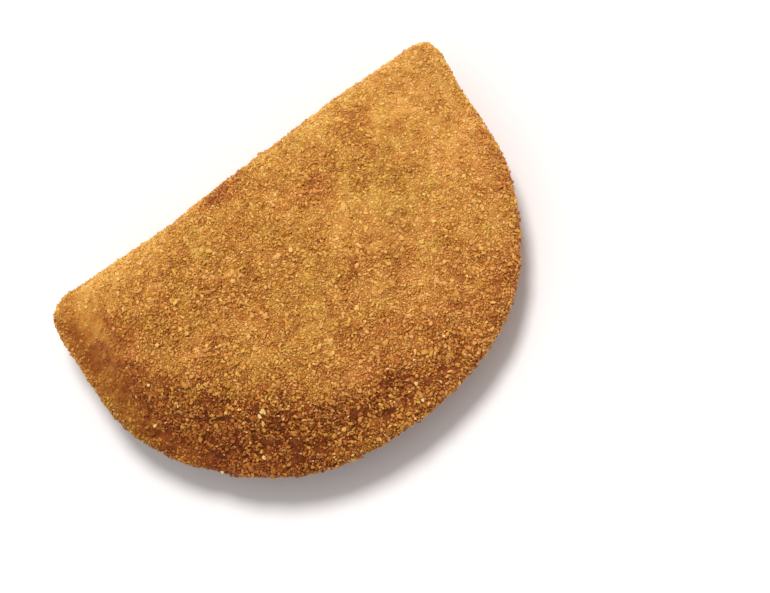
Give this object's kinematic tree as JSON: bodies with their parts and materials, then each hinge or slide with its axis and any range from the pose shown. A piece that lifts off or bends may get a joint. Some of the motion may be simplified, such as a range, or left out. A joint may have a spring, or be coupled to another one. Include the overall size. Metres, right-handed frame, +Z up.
{
  "type": "rissole",
  "caption": "Fried half-moon rissole of folded dough with a thin sealed edge, a domed filled middle and a coat of fine golden breadcrumbs.",
  "frame": {"origin": "on the resting plane, under the middle of the bounding box", "axes": "+X along the straight fold, +Y towards the fold and away from the sealed arc, +Z up"},
  "size_m": [0.0992, 0.0666, 0.0222],
  "materials": {
    "crumb_crust": "fried breadcrumb coat, golden to dark brown, dry with a faint sheen of oil"
  },
  "bodies": {
    "root": {"rissole": "crumb_crust"}
  },
  "joints": []
}
